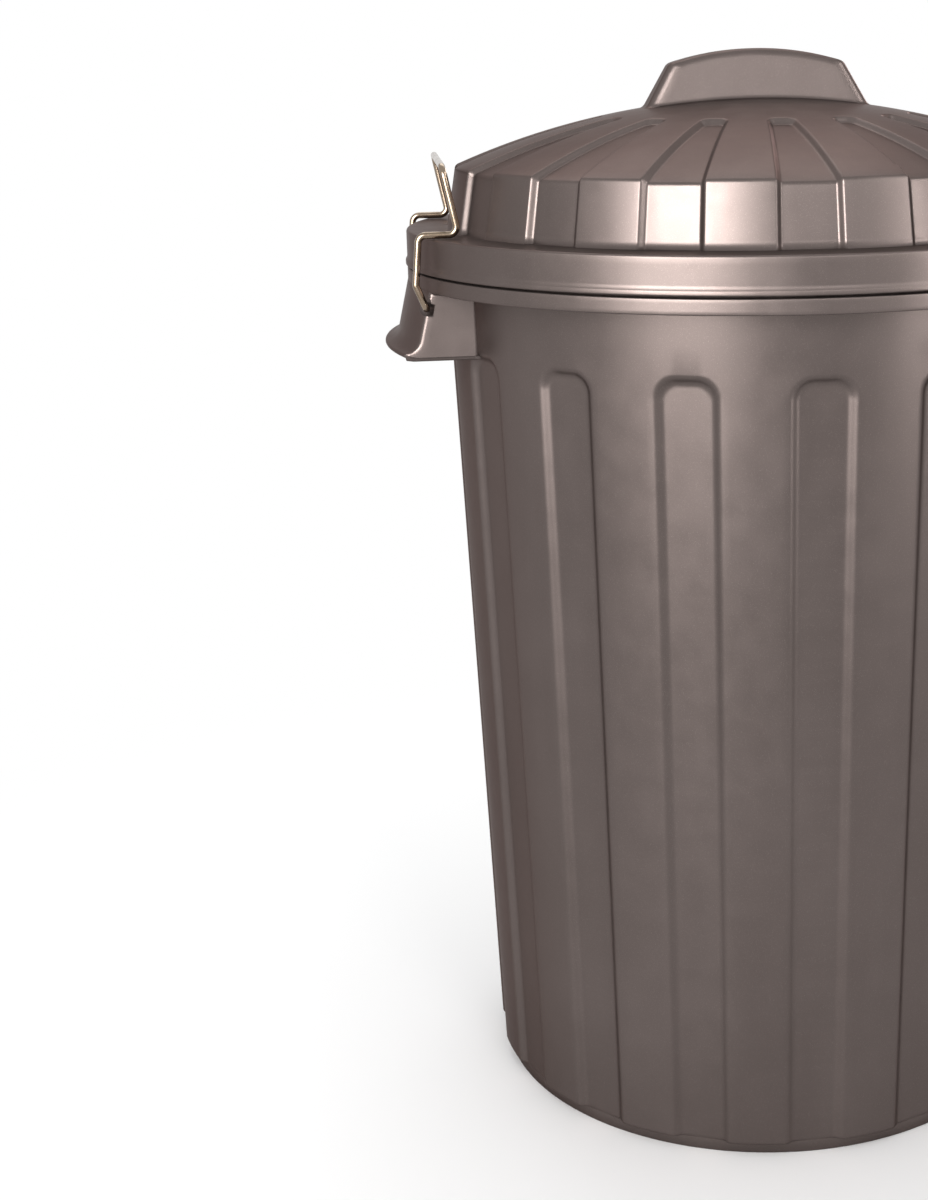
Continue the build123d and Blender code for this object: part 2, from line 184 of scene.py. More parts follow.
def arc_points(centre, radius, start, end, count):
    """Points on an arc in (radius, height), with angles in degrees."""
    angles = np.radians(np.linspace(start, end, count))
    return [(centre[0] + radius * math.cos(a), centre[1] + radius * math.sin(a)) for a in angles]


def spaced(start, end, step):
    """Evenly spaced values from start to end, no further apart than step."""
    count = max(2, int(math.ceil(abs(end - start) / step)) + 1)
    return np.linspace(start, end, count)


def pitch_columns(floor_half, round_from, side, pitch_half):
    """Sideways places of the columns in half a flute's pitch, close together at its side."""
    parts = [
        np.linspace(0, round_from, 3)[:-1],
        np.linspace(round_from, floor_half - 0.35 * side, 7)[:-1],
        np.linspace(floor_half - 0.35 * side, floor_half + 1.35 * side, 10)[:-1],
        np.linspace(floor_half + 1.35 * side, pitch_half, 6),
    ]
    return np.concatenate(parts)


# Bin


def wall_radius(z):
    return BASE_RADIUS + z * TAPER


def flute_half(z):
    """Half of a bin flute's floor width at height z."""
    share = np.clip((z - FOOT_HEIGHT) / (FLUTE_TOP - FOOT_HEIGHT), 0, 1)
    return FLUTE_HALF_FOOT + (FLUTE_HALF_TOP - FLUTE_HALF_FOOT) * share


def bin_columns(z):
    """Angles of the columns round the bin at height z, and the sideways distance of each
    from the middle of its flute."""
    radius = wall_radius(min(max(z, FOOT_HEIGHT), FLUTE_TOP + FLUTE_SIDE))
    pitch_half = math.pi / FLUTES * radius
    half = flute_half(z)
    side = pitch_columns(half, half - ARCH_RADIUS, FLUTE_SIDE, pitch_half)
    across = np.concatenate([-side[::-1], side[1:-1]])
    centres = math.pi + 2 * math.pi / FLUTES * np.arange(FLUTES)
    angles = (centres[:, None] + across[None, :] / radius).ravel()
    return angles, np.tile(across, FLUTES)


def bin_loop(radius, z, fluted=0.0, skin=0.0):
    """One loop round the bin. fluted is 1 on the wall's faces, and skin moves it inwards."""
    angles, across = bin_columns(z)
    r = np.full(len(angles), float(radius))
    if fluted:
        half = flute_half(z) - ARCH_RADIUS
        qx = np.abs(across) - half
        qz = z - (FLUTE_TOP - ARCH_RADIUS)
        outside = np.hypot(np.maximum(qx, 0), max(qz, 0)) + np.minimum(np.maximum(qx, qz), 0)
        distance = outside - ARCH_RADIUS - skin * 0.8
        share = 1 - ramp(distance / FLUTE_SIDE, BIN_SOFT)
        floor = (wall_radius(z) - FLUTE_DEPTH - skin) / np.cos(across / wall_radius(z))
        r = radius + (floor - radius) * share
    return np.stack([r * np.cos(angles), r * np.sin(angles), np.full(len(r), float(z))], 1)


def bin_wall_heights(low, high):
    """Heights of the wall's loops, close together round the tops of the flutes."""
    arch_low = FLUTE_TOP - ARCH_RADIUS - 1 * MM
    arch_high = FLUTE_TOP + 1.4 * FLUTE_SIDE
    rows = [
        spaced(low, low + 6 * MM, 2 * MM)[:-1],
        spaced(low + 6 * MM, arch_low, 60 * MM)[:-1],
        spaced(arch_low, FLUTE_TOP - 2 * MM, 1.5 * MM)[:-1],
        spaced(FLUTE_TOP - 2 * MM, arch_high, 0.75 * MM)[:-1],
        spaced(arch_high, high, 20 * MM),
    ]
    return np.concatenate(rows)


def bin_tub():
    """The bin's fluted wall, base, foot ring and rim as one closed skin."""
    loops = [bin_loop(0, FOOT_HEIGHT)]
    inner_foot = FOOT_RADIUS - WALL
    for radius in (60 * MM, 130 * MM, 190 * MM):
        loops.append(bin_loop(radius, FOOT_HEIGHT))
    path = [(inner_foot - 1 * MM, FOOT_HEIGHT), (inner_foot, FOOT_HEIGHT - 1 * MM)]
    path += [(inner_foot, 0.8 * MM), (inner_foot + 0.8 * MM, 0)]
    path += [(FOOT_RADIUS - 0.8 * MM, 0), (FOOT_RADIUS, 0.8 * MM)]
    path += [(FOOT_RADIUS, FOOT_HEIGHT - 1 * MM), (FOOT_RADIUS, FOOT_HEIGHT - 0.2 * MM)]
    loops += [bin_loop(r, z) for r, z in path]
    for inset, lift in ((3.2, 0.0), (1.2, 0.1), (0.35, 0.5), (0.0, 1.3)):
        z = FOOT_HEIGHT + lift * MM
        full = bin_loop(wall_radius(z), z, fluted=1)
        reach = np.hypot(full[:, 0], full[:, 1])
        short = np.maximum(reach - inset * MM, FOOT_RADIUS)
        full[:, :2] *= (np.minimum(short, reach) / reach)[:, None]
        loops.append(full)
    under = RIM_HEIGHT - WALL
    for z in bin_wall_heights(FOOT_HEIGHT + 3 * MM, under - 5 * MM):
        loops.append(bin_loop(wall_radius(z), z, fluted=1))
    collar_in = COLLAR_RADIUS - WALL
    band_in = RIM_BAND_RADIUS - WALL
    wall_top = wall_radius(under)
    rim = arc_points((wall_top + 4 * MM, under - 4 * MM), 4 * MM, 165, 95, 6)
    rim += [(wall_top + 7 * MM, under), (collar_in - 1 * MM, under), (collar_in, under - 1 * MM)]
    rim += [(collar_in, RIM_BAND_TOP - WALL + 1 * MM), (collar_in + 1 * MM, RIM_BAND_TOP - WALL)]
    rim += [(band_in - 0.6 * MM, RIM_BAND_TOP - WALL), (band_in, RIM_BAND_TOP - WALL - 0.6 * MM)]
    rim += [(band_in, RIM_BAND_FOOT + 0.6 * MM), (band_in + 0.6 * MM, RIM_BAND_FOOT)]
    rim += [(RIM_BAND_RADIUS - 0.9 * MM, RIM_BAND_FOOT)]
    rim += arc_points((RIM_BAND_RADIUS - 0.9 * MM, RIM_BAND_FOOT + 0.9 * MM), 0.9 * MM, -60, 0, 3)
    rim += [(RIM_BAND_RADIUS, RIM_BAND_FOOT + 3 * MM), (RIM_BAND_RADIUS, RIM_BAND_TOP - 3 * MM)]
    rim += arc_points((RIM_BAND_RADIUS - 1.2 * MM, RIM_BAND_TOP - 1.2 * MM), 1.2 * MM, 0, 90, 5)
    rim += [(COLLAR_RADIUS + 0.6 * MM, RIM_BAND_TOP), (COLLAR_RADIUS, RIM_BAND_TOP + 0.6 * MM)]
    rim += [(COLLAR_RADIUS, RIM_HEIGHT - 4 * MM)]
    rim += arc_points((COLLAR_RADIUS - 2 * MM, RIM_HEIGHT - 2 * MM), 2 * MM, 0, 90, 6)
    mouth = wall_radius(RIM_HEIGHT) - WALL
    rim += [(COLLAR_RADIUS - 6 * MM, RIM_HEIGHT), (mouth + 5 * MM, RIM_HEIGHT)]
    rim += arc_points((mouth + 3 * MM, RIM_HEIGHT - 3 * MM), 3 * MM, 90, 180, 6)
    loops += [bin_loop(r, z) for r, z in rim]
    floor_top = FOOT_HEIGHT + WALL
    for z in bin_wall_heights(floor_top + 4 * MM, RIM_HEIGHT - 7 * MM)[::-1]:
        loops.append(bin_loop(wall_radius(z) - WALL, z, fluted=1, skin=WALL))
    for drop, shrink in ((2.2, 0.5), (0.9, 1.5), (0.2, 2.9), (0.0, 4.5)):
        z = floor_top + drop * MM
        loop = bin_loop(wall_radius(z) - WALL, z, fluted=1, skin=WALL)
        reach = np.hypot(loop[:, 0], loop[:, 1])
        loop[:, :2] *= ((reach - shrink * MM) / reach)[:, None]
        loops.append(loop)
    for radius in (180 * MM, 120 * MM, 60 * MM):
        loops.append(bin_loop(radius, floor_top))
    loops.append(bin_loop(0, floor_top))
    return lofted("bin_tub", loops)


def bracket_section():
    """Points down a bracket's outer wall, round its lip and up its inner face, each with
    its (radius, height) and the part of the wall's thickness that lies outside it."""
    top = Vector((RIM_BAND_RADIUS, RIM_BAND_FOOT + WALL / 2))
    knee = Vector((KNEE_RADIUS, KNEE_Z))
    lip = Vector((BRACKET_LIP_RADIUS - BRACKET_EDGE, BRACKET_FOOT + WALL))
    along = (knee - top).normalized()
    chord = lip - knee
    normal = Vector((-along.y, along.x))
    radius = chord.length_squared / (2 * chord.dot(normal))
    centre = knee + normal * radius
    start = math.atan2(knee.y - centre.y, knee.x - centre.x)
    turn = math.atan2(lip.y - centre.y, lip.x - centre.x) - start
    run = [top.lerp(knee, t) for t in np.linspace(0, 1, 9)[:-1]]

    def side(reach, inset):
        points = [p - normal * inset for p in run]
        for t in np.linspace(0, 1, 13):
            a = start + turn * t
            points.append(centre + Vector((math.cos(a), math.sin(a))) * reach)
        return points

    outer, inner = side(radius, 0), side(radius + WALL, WALL)
    middle = (outer[-1] + inner[-1]) / 2
    out = (outer[-1] - inner[-1]) / 2
    ahead = (outer[-1] - outer[-2]).normalized() * out.length
    turns = np.radians((30, 60, 90, 120, 150))
    tip = [middle + out * math.cos(a) + ahead * math.sin(a) for a in turns]
    section = [(p, 0.0) for p in outer]
    section += [(p, WALL * (k + 1) / 6) for k, p in enumerate(tip)]
    return section + [(p, WALL) for p in inner[::-1]]


def bracket_outline(point, inset):
    """Points of a bracket's U-shaped skin towards +X: from the wall out along one side
    plate, round the corner, along the outer wall and back along the other plate."""
    radius, z = point
    half = BRACKET_HALF - inset
    corner = max(BRACKET_ROUND - inset, 0.6 * MM)
    root = math.sqrt((wall_radius(max(z, BRACKET_FOOT)) - 1.5 * MM) ** 2 - BRACKET_HALF**2)
    corner_angle = math.asin((half - corner) / (radius - corner))
    centre_x = (radius - corner) * math.cos(corner_angle)
    plate = [(x, -half) for x in np.linspace(root, centre_x, 12)]
    centre_y = -(half - corner)
    bend = [
        (centre_x + corner * math.cos(a), centre_y + corner * math.sin(a))
        for a in np.linspace(-math.pi / 2, -corner_angle, 7)[1:]
    ]
    outer = [
        (radius * math.cos(a), radius * math.sin(a))
        for a in np.linspace(-corner_angle, corner_angle, 34)[1:-1]
    ]
    near = plate + bend
    far = [(x, -y) for x, y in reversed(near)]
    loop = np.array([(x, y, z) for x, y in near + outer + far])
    ends = np.concatenate([np.linspace(1, 0, 14), np.zeros(len(loop) - 28), np.linspace(0, 1, 14)])
    low = BRACKET_FOOT + min(inset, WALL - inset)
    return loop, ends, low


def bracket(name, side):
    """One carrying bracket, open at the top under the rim and at the bottom. Its skin runs
    down the outside, round the lower edge and up the inside."""
    rows = []
    for point, inset in bracket_section():
        loop, ends, low = bracket_outline(point, inset)
        share = np.clip((RIM_BAND_FOOT - point.y) / (RIM_BAND_FOOT - BRACKET_FOOT - WALL), 0, 1)
        loop[:, 2] += (low - (BRACKET_FOOT + WALL)) * np.minimum(ends * 5, 1) * share
        rows.append(loop)
    count, total = len(rows[0]), len(rows)
    verts = np.concatenate(rows)
    faces = []
    for r in range(total):
        low, high = r * count, (r + 1) % total * count
        for c in range(count - 1):
            faces.append((low + c, high + c, high + c + 1, low + c + 1))
    for c in (0, count - 1):
        ring = [r * count + c for r in range(total)]
        for r in range(total // 2):
            other = total - 1 - r
            if other - 1 > r + 1:
                face = (ring[r], ring[r + 1], ring[other - 1], ring[other])
            elif other - 1 == r + 1:
                face = (ring[r], ring[r + 1], ring[other])
            else:
                continue
            faces.append(face if c else face[::-1])
    if side < 0:
        verts = verts * np.array([-1, -1, 1])
    obj = new_object(name, verts, faces)
    for end in (-1, 1):
        drill(obj, (side * PIVOT_RADIUS, end * BRACKET_HALF, PIVOT_Z), end)
    return obj


def drill(obj, centre, outward):
    """Cuts a clip's hole with its dished mouth through a bracket's side plate."""
    rings = [
        (HOLE_DISH + 0.5 * MM, 0.8 * MM),
        (HOLE_DISH, 0.0),
        (HOLE_DISH * 0.86, -0.55 * MM),
        (HOLE_RADIUS * 1.2, -1.35 * MM),
        (HOLE_RADIUS, -1.8 * MM),
        (HOLE_RADIUS, -8 * MM),
    ]
    count = 40
    turn = np.linspace(0, 2 * math.pi, count, endpoint=False)
    loops = []
    for radius, depth in [(0, rings[0][1]), *rings, (0, rings[-1][1])]:
        y = centre[1] + outward * depth
        x = centre[0] + radius * np.cos(turn)
        z = centre[2] + radius * np.sin(turn)
        loops.append(np.stack([x, np.full(count, y), z], 1))
    cutter = lofted("drill", loops)
    outwards(cutter)
    cut = obj.modifiers.new("hole", "BOOLEAN")
    cut.operation, cut.object, cut.solver = "DIFFERENCE", cutter, "EXACT"
    settle(obj)
    bpy.data.objects.remove(cutter)


def outwards(obj):
    """Turns the faces of a closed mesh to face outwards."""
    work = bmesh.new()
    work.from_mesh(obj.data)
    bmesh.ops.recalc_face_normals(work, faces=work.faces)
    work.to_mesh(obj.data)
    work.free()


def settle(obj):
    """Applies an object's modifiers to its mesh."""
    shape = obj.evaluated_get(bpy.context.evaluated_depsgraph_get())
    mesh = bpy.data.meshes.new_from_object(shape)
    obj.modifiers.clear()
    obj.data = mesh


# Lid


def lid_columns(radius):
    """Angles of the columns round the lid at a radius, which follow the sides of the
    flutes, and the sideways distance of each from the middle of its flute."""
    radius = min(max(radius, LID_FLUTE_START), SHOULDER_RADIUS)
    half = lid_flute_half(radius)
    side = pitch_columns(half, half * 0.5, LID_FLUTE_SIDE, math.pi / FLUTES * radius)
    across = np.concatenate([-side[::-1], side[1:-1]])
    centres = math.pi + 2 * math.pi / FLUTES * np.arange(FLUTES)
    return (centres[:, None] + across[None, :] / radius).ravel(), np.tile(across, FLUTES)


def lid_flute_half(radius):
    """Half of a lid flute's floor width at a radius."""
    share = (radius - LID_FLUTE_START) / (SHOULDER_RADIUS - LID_FLUTE_START)
    return LID_FLUTE_HALF_START + (LID_FLUTE_HALF_END - LID_FLUTE_HALF_START) * np.clip(share, 0, 1)


def dome_z(radius, skin):
    return DOME_CENTRE_Z + np.sqrt((DOME_RADIUS - skin) ** 2 - radius**2)


def lid_section(skin):
    """Matched (radius, height) points of the lid's raised face and flute floor, from the
    dome down to the flange, both moved in by skin."""
    faces = []
    for depth in (skin, skin + LID_FLUTE_DEPTH):
        edge = SHOULDER_RADIUS - depth
        lean = (SKIRT_FOOT_RADIUS - SHOULDER_RADIUS) / SHOULDER_RISE
        corner_z = dome_z(edge, depth)
        round_radius = SHOULDER_ROUND if skin == 0 else SHOULDER_ROUND_INSIDE
        slope = math.atan2(edge, DOME_RADIUS - depth)
        down = math.atan(lean)
        opening = math.pi / 2 - slope - down
        reach = round_radius * math.tan(opening / 2)
        start_r, start_z = edge - reach * math.cos(slope), corner_z + reach * math.sin(slope)
        normal = math.pi / 2 - slope
        centre = (
            start_r - round_radius * math.cos(normal),
            start_z - round_radius * math.sin(normal),
        )
        nose = [DOME_PLAIN + k * MM for k in range(15)]
        dome = nose + list(np.linspace(nose[-1], start_r, 13)[1:])
        points = [(r, float(dome_z(r, depth))) for r in dome]
        points += arc_points(centre, round_radius, math.degrees(normal), math.degrees(down), 9)[1:]
        end_r, end_z = points[-1]
        for z in np.linspace(end_z, LID_TOP - skin, 8)[1:]:
            points.append((end_r + (end_z - z) * lean, z))
        faces.append(points)
    return faces


def lid_loop(raised, floor, skin):
    """One loop round the lid, between its raised face and the floor of its flutes."""
    radius = raised[0]
    angles, across = lid_columns(radius)
    half = lid_flute_half(radius) - LID_FLUTE_NOSE
    qx = np.abs(across) - half
    qr = LID_FLUTE_START + LID_FLUTE_NOSE - radius
    outside = np.hypot(np.maximum(qx, 0), max(qr, 0)) + np.minimum(np.maximum(qx, qr), 0)
    distance = outside - LID_FLUTE_NOSE - skin * 0.8
    share = 1 - ramp(distance / LID_FLUTE_SIDE, LID_SOFT)
    r = raised[0] + (floor[0] - raised[0]) * share
    z = raised[1] + (floor[1] - raised[1]) * share
    return np.stack([r * np.cos(angles), r * np.sin(angles), z], 1)


def round_loop(radius, z):
    angles = lid_columns(radius)[0]
    flat = np.full(len(angles), float(z))
    return np.stack([radius * np.cos(angles), radius * np.sin(angles), flat], 1)


def grip_places():
    """Where each column meets the grip's rounded rectangle: on which core point of the
    rectangle it stands, in shares of its sides, and the direction that it faces."""
    angles = lid_columns(0)[0]
    cos, sin = np.cos(angles), np.sin(angles)
    half_x = GRIP_HALF_TOP + GRIP_ARCH * GRIP_END_LEAN
    half_y = GRIP_THICK_TOP / 2 + GRIP_ARCH * GRIP_SIDE_LEAN
    corner = GRIP_END_ROUND
    core_x, core_y = half_x - corner, half_y - corner
    reach_x = half_x / np.maximum(np.abs(cos), 1e-9)
    reach_y = half_y / np.maximum(np.abs(sin), 1e-9)
    along = np.abs(cos) * core_x + np.abs(sin) * core_y
    bend = along + np.sqrt(np.maximum(along**2 - core_x**2 - core_y**2 + corner**2, 0))
    reach = np.minimum(reach_x, reach_y)
    x, y = reach * np.abs(cos), reach * np.abs(sin)
    in_corner = (x > core_x) & (y > core_y)
    turn = np.arctan2(bend * np.abs(sin) - core_y, bend * np.abs(cos) - core_x)
    on_end = ~in_corner & (reach_x <= reach_y)
    side_x, side_y = np.sign(cos), np.sign(sin)
    face_x = np.where(in_corner, np.cos(turn), np.where(on_end, 1.0, 0.0)) * side_x
    face_y = np.where(in_corner, np.sin(turn), np.where(on_end, 0.0, 1.0)) * side_y
    place_x = np.where(in_corner | on_end, side_x, x * side_x / core_x)
    place_y = np.where(in_corner | ~on_end, side_y, y * side_y / core_y)
    return np.stack([place_x, place_y]), np.stack([face_x, face_y])


def grip_plan(z, skin):
    """Points of the grip's side at height z, which can differ from column to column."""
    place, face = GRIP_PLACES
    half_x = GRIP_HALF_TOP + (GRIP_PEAK - GRIP_ARCH - z) * GRIP_END_LEAN - skin
    half_y = GRIP_THICK_TOP / 2 + (GRIP_PEAK - z) * GRIP_SIDE_LEAN - skin
    corner = GRIP_END_ROUND - skin
    return np.stack([place[0] * (half_x - corner), place[1] * (half_y - corner)]) + face * corner


def grip_top_z(x, skin):
    """Height of the grip's arched top at x."""
    half = GRIP_HALF_TOP - skin
    curve = (half**2 + GRIP_ARCH**2) / (2 * GRIP_ARCH)
    return GRIP_PEAK - skin - curve + np.sqrt(curve**2 - np.minimum(np.abs(x), half * 1.2) ** 2)


def grip_loops(skin):
    """Loops from the middle of the grip's top, over its rounded edge and down its side, and
    then out over the dome as far as the flutes."""
    face = GRIP_PLACES[1]

    def placed(plan, z):
        return np.stack([plan[0], plan[1], z + 0 * plan[0]], 1)

    z = grip_top_z(0, skin) + 0 * face[0]
    for _ in range(12):
        plan = grip_plan(z, skin)
        z = grip_top_z(plan[0], skin)
    step = 0.1 * MM
    slope = (grip_top_z(plan[0] + face[0] * step, skin) - z) / step
    lower = grip_plan(z - step, skin) - plan
    lean = (lower * face).sum(0) / step
    inward = np.stack([-np.ones_like(z), -slope]) / np.hypot(1, slope)
    down = np.stack([lean, -np.ones_like(z)]) / np.hypot(1, lean)
    opening = np.arccos((inward * down).sum(0))
    radius = GRIP_TOP_ROUND - skin
    reach = radius / np.tan(opening / 2)
    middle = inward + down
    centre = middle / np.hypot(*middle) * radius / np.sin(opening / 2)
    from_top, from_side = inward * reach - centre, down * reach - centre
    sweep = math.pi - opening
    loops = []
    start = centre + from_top
    top = plan + face * start[0]
    for share in (0.0, 0.3, 0.6, 0.85):
        loops.append(placed(top * share, grip_top_z(top[0] * share, skin)))
    for t in np.linspace(0, 1, 8):
        turned = from_top * np.sin((1 - t) * sweep) + from_side * np.sin(t * sweep)
        point = centre + turned / np.sin(sweep)
        loops.append(placed(plan + face * point[0], z + point[1]))
    side_top = loops[-1][:, 2]
    side_foot = np.full_like(side_top, CROWN_Z)
    for _ in range(12):
        side_foot = dome_z(np.hypot(*grip_plan(side_foot, skin)), skin)
    for share in (0.2, 0.4, 0.6, 0.8, 1.0):
        z = side_top + (side_foot + GRIP_FOOT_ROUND - side_top) * share
        loops.append(placed(grip_plan(z, skin), z))
    foot = grip_plan(side_foot, skin)
    blend = side_foot + GRIP_FOOT_ROUND
    begin = placed(grip_plan(blend, skin), blend)
    corner = placed(foot, side_foot)
    out = foot + face * GRIP_FOOT_ROUND
    end = placed(out, dome_z(np.hypot(*out), skin))
    for t in (0.2, 0.4, 0.6, 0.8, 1.0):
        loops.append((1 - t) ** 2 * begin + 2 * t * (1 - t) * corner + t**2 * end)
    far = round_loop(DOME_PLAIN, 0)[:, :2].T
    for share in (0.12, 0.28, 0.46, 0.64, 0.82):
        plan = out + (far - out) * share
        loops.append(placed(plan, dome_z(np.hypot(*plan), skin)))
    return loops


GRIP_PLACES = grip_places()


def lid_shell():
    """The lid's dome, skirt, flange, band and hollow grip as one closed skin."""
    loops = grip_loops(0)
    raised, floor = lid_section(0)
    loops += [lid_loop(a, b, 0) for a, b in zip(raised, floor)]
    out, inside = LID_RADIUS, LID_RADIUS - LID_WALL
    low, bead = LID_BAND_FOOT, LID_RADIUS + LID_BEAD
    path = [(SKIRT_FOOT_RADIUS + 3 * MM, LID_TOP), (out - 6 * MM, LID_TOP)]
    path += arc_points((out - 2 * MM, LID_TOP - 2 * MM), 2 * MM, 90, 0, 7)
    path += [(out, LID_TOP - 6 * MM), (out, low + LID_BEAD_HEIGHT + LID_BEAD + 2 * MM)]
    path += [(out, low + LID_BEAD_HEIGHT + LID_BEAD), (bead - 0.25 * MM, low + LID_BEAD_HEIGHT)]
    path += [(bead, low + LID_BEAD_HEIGHT - 0.7 * MM), (bead, low + 1.2 * MM)]
    path += arc_points((bead - 0.9 * MM, low + 0.9 * MM), 0.9 * MM, 0, -90, 5)
    path += [(inside + 0.5 * MM, low), (inside, low + 0.5 * MM), (inside, low + 3 * MM)]
    under = LID_TOP - LID_WALL
    path += [(inside, under - 2 * MM), (inside - 0.6 * MM, under), (inside - 3 * MM, under)]
    path += [(SKIRT_FOOT_RADIUS + 4 * MM, under), (SKIRT_FOOT_RADIUS, under)]
    loops += [round_loop(r, z) for r, z in path]
    raised, floor = lid_section(LID_WALL)
    inner = [lid_loop(a, b, LID_WALL) for a, b in zip(raised, floor)]
    loops += inner[::-1]
    loops += grip_loops(LID_WALL)[::-1]
    obj = lofted("lid_shell", loops)
    obj.data.transform(Matrix.Rotation(LID_TURN, 4, "Z"))
    return obj


# Clips


def rounded_path(points, radii, step):
    """Points along a path of straight runs whose corners are rounded."""
    points = [Vector(p) for p in points]
    out = [points[0]]
    for before, corner, after, radius in zip(points, points[1:], points[2:], radii):
        a, b = (before - corner).normalized(), (after - corner).normalized()
        half = a.angle(b) / 2
        reach = radius / math.tan(half)
        centre = corner + (a + b).normalized() * (radius / math.sin(half))
        start, end = corner + a * reach, corner + b * reach
        u, v = (start - centre), (end - centre)
        sweep = u.angle(v)
        count = max(5, int(sweep * radius / step))
        for k in range(count + 1):
            t = k / count
            turned = (u * math.sin((1 - t) * sweep) + v * math.sin(t * sweep)) / math.sin(sweep)
            out.append(centre + turned)
    out.append(points[-1])
    return out


def clip(name, side):
    """One bent wire clip, closed over the lid."""
    leg = [
        (PIVOT_RADIUS, CLIP_HALF - CLIP_END_LENGTH, PIVOT_Z),
        (PIVOT_RADIUS, CLIP_HALF, PIVOT_Z),
        (CLIP_ELBOW_RADIUS, CLIP_HALF, PIVOT_Z + CLIP_ELBOW_RISE),
        (CLIP_SHOULDER_RADIUS, CLIP_HALF, CLIP_RUN_Z),
        (CLIP_HEEL_RADIUS, CLIP_HALF, CLIP_RUN_Z),
        (CLIP_TOP_RADIUS, CLIP_HALF, CLIP_RUN_Z + CLIP_TOP_RISE),
    ]
    route = leg + [(x, -y, z) for x, y, z in reversed(leg)]
    path = rounded_path(route, CLIP_BENDS + CLIP_BENDS[::-1], 0.9 * MM)
    obj = tube(name, path, WIRE_RADIUS)
    if side < 0:
        obj.data.transform(Matrix.Rotation(math.pi, 4, "Z"))
    return obj


def tube(name, path, radius):
    """A round wire along a path, with rounded ends."""
    count = 24
    path = [path[0]] + [b for a, b in zip(path, path[1:]) if (b - a).length > 1e-6]
    tangents = [(b - a).normalized() for a, b in zip(path, path[1:])]
    along = [tangents[0]]
    along += [(a + b).normalized() for a, b in zip(tangents, tangents[1:])] + [tangents[-1]]
    up = along[0].orthogonal().normalized()
    turn = np.linspace(0, 2 * math.pi, count, endpoint=False)
    frames = []
    for tangent in along:
        up = (up - tangent * up.dot(tangent)).normalized()
        frames.append((up, tangent.cross(up)))

    def ring(centre, frame_axes, r):
        u, v = frame_axes
        return np.array([centre + (u * math.cos(a) + v * math.sin(a)) * r for a in turn])

    start, end, ease = path[0], path[-1], radius * 0.2
    places = [(start, frames[0], 0), (start, frames[0], radius - ease)]
    places.append((start + along[0] * ease, frames[0], radius))
    places += [(point, axes, radius) for point, axes in list(zip(path, frames))[1:-1]]
    places.append((end - along[-1] * ease, frames[-1], radius))
    places += [(end, frames[-1], radius - ease), (end, frames[-1], 0)]
    return lofted(name, [ring(*place) for place in places])


# Materials


def new_material(name):
    """A node material, its node tree and its Principled shader."""
    material = bpy.data.materials.new(name)
    material.use_nodes = True
    tree = material.node_tree
    return material, tree, tree.nodes["Principled BSDF"]


def noise(tree, vector, scale, detail=2.0, roughness=0.5):
    node = tree.nodes.new("ShaderNodeTexNoise")
    node.inputs["Scale"].default_value = scale
    node.inputs["Detail"].default_value = detail
    node.inputs["Roughness"].default_value = roughness
    tree.links.new(vector, node.inputs["Vector"])
    return node.outputs["Fac"]


def ranged(tree, value, low, high, out_low, out_high):
    node = tree.nodes.new("ShaderNodeMapRange")
    node.inputs["From Min"].default_value = low
    node.inputs["From Max"].default_value = high
    node.inputs["To Min"].default_value = out_low
    node.inputs["To Max"].default_value = out_high
    tree.links.new(value, node.inputs["Value"])
    return node.outputs["Result"]


def mixed(tree, factor, first, second):
    """A colour between two, by a factor. Each colour is a socket or a value."""
    node = tree.nodes.new("ShaderNodeMix")
    node.data_type = "RGBA"
    tree.links.new(factor, node.inputs["Factor"])
    for socket, colour in ((node.inputs["A"], first), (node.inputs["B"], second)):
        if isinstance(colour, tuple):
            socket.default_value = (*colour, 1)
        else:
            tree.links.new(colour, socket)
    return node.outputs["Result"]


def bumped(tree, shader, height, distance, strength, normal=None):
    node = tree.nodes.new("ShaderNodeBump")
    node.inputs["Distance"].default_value = distance
    node.inputs["Strength"].default_value = strength
    tree.links.new(height, node.inputs["Height"])
    if normal:
        tree.links.new(normal, node.inputs["Normal"])
    tree.links.new(node.outputs["Normal"], shader.inputs["Normal"])
    return node.outputs["Normal"]


def metallic_plastic():
    """Taupe plastic with fine metal flake under a satin skin, and faint flow marks."""
    material, tree, shader = new_material("metallic_plastic")
    place = tree.nodes.new("ShaderNodeTexCoord").outputs["Object"]
    cloud = noise(tree, place, 7, 3)
    flake = noise(tree, place, 2600, 1)
    stretch = tree.nodes.new("ShaderNodeMapping")
    stretch.inputs["Scale"].default_value = (1, 1, 0.12)
    tree.links.new(place, stretch.inputs["Vector"])
    flow = noise(tree, stretch.outputs["Vector"], 26, 3)
    clouded = ranged(tree, cloud, 0.35, 0.65, 0, 1)
    base = mixed(tree, clouded, (0.107, 0.087, 0.081), (0.12, 0.098, 0.092))
    tone = mixed(tree, ranged(tree, flow, 0.4, 0.62, 0, 0.35), base, (0.098, 0.079, 0.074))
    sparkle = mixed(tree, ranged(tree, flake, 0.62, 0.75, 0, 0.5), tone, (0.24, 0.205, 0.192))
    tree.links.new(sparkle, shader.inputs["Base Color"])
    shader.inputs["Metallic"].default_value = 0.78
    shader.inputs["Specular IOR Level"].default_value = 0.3
    shader.inputs["Specular Tint"].default_value = (0.3, 0.25, 0.24, 1)
    rough = ranged(tree, noise(tree, place, 55, 4), 0.3, 0.7, 0.34, 0.4)
    tree.links.new(rough, shader.inputs["Roughness"])
    skin = noise(tree, place, 900, 2)
    waves = noise(tree, place, 18, 2)
    first = bumped(tree, shader, waves, 0.0004, 0.25)
    bumped(tree, shader, skin, 0.00003, 0.35, first)
    return material


